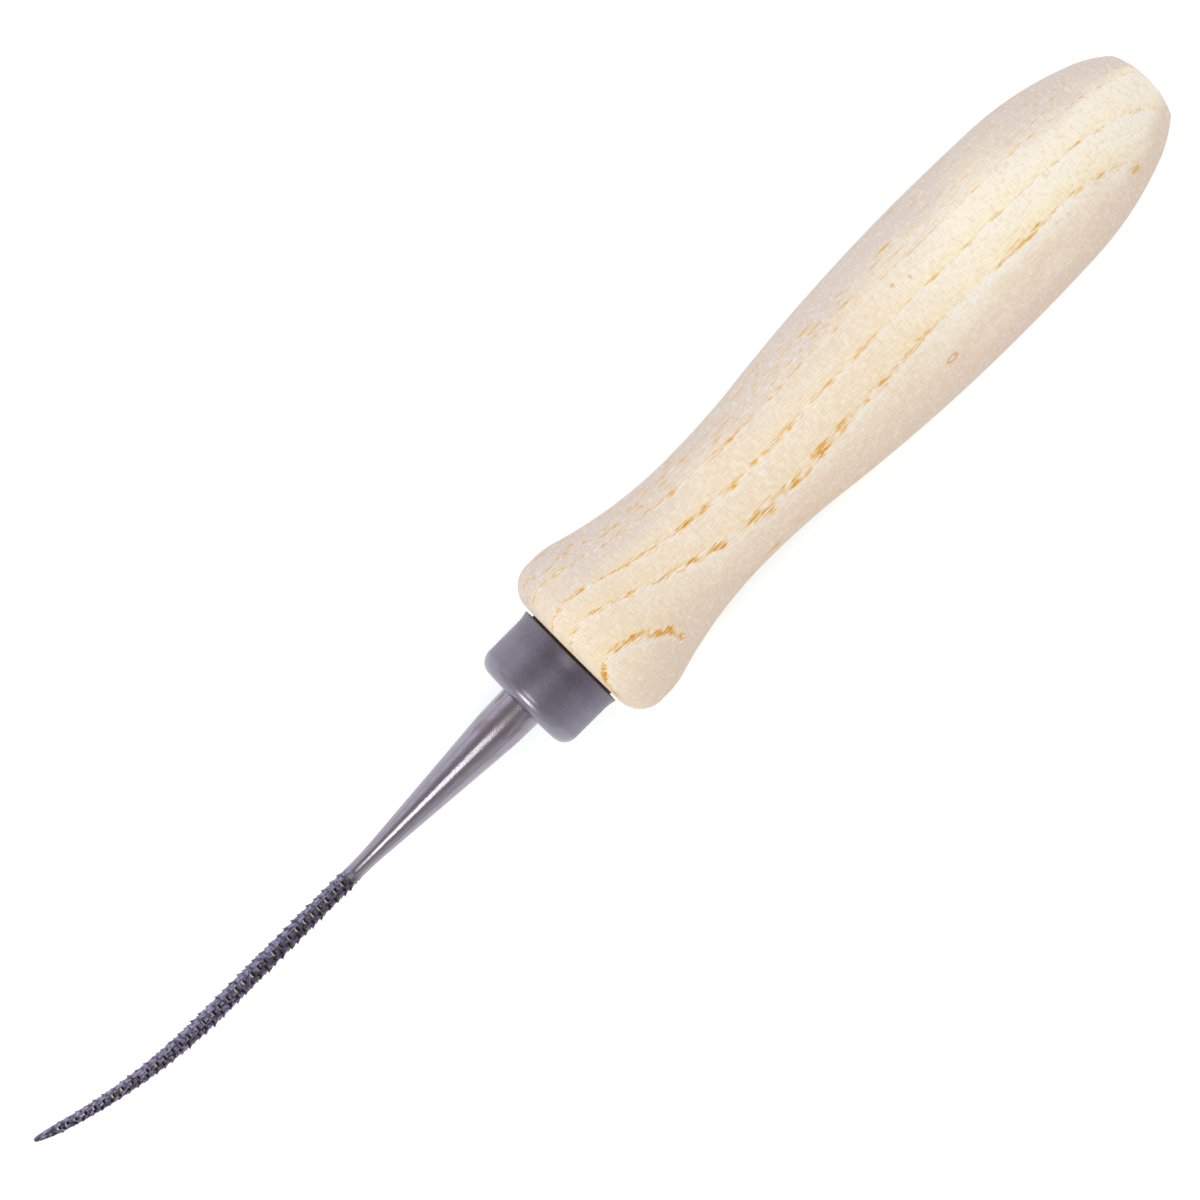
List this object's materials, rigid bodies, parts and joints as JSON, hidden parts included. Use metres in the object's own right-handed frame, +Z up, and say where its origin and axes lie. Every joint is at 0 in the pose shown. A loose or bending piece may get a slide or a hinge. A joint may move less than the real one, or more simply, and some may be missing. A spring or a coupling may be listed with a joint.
{
  "type": "curved round hand rasp",
  "caption": "Curved hand-stitched round rasp: a toothed steel needle bent at the point, pressed through a ferrule into a turned wooden handle.",
  "frame": {"origin": "on the handle's axis, at the middle of the ferrule's cylindrical barrel", "axes": "+X along the handle's axis towards the needle's point, -Y the side that the point bends to, +Z up as the tool lies on a bench"},
  "size_m": [0.2369, 0.0296, 0.0296],
  "materials": {
    "blade_steel": "satin shank, dark stitched teeth",
    "ferrule_steel": "satin, faintly brushed round the barrel",
    "ash": "bare turned ash, open yellow pores"
  },
  "bodies": {
    "root": {"rasp_blade": "blade_steel", "ferrule": "ferrule_steel", "handle": "ash"}
  },
  "joints": []
}
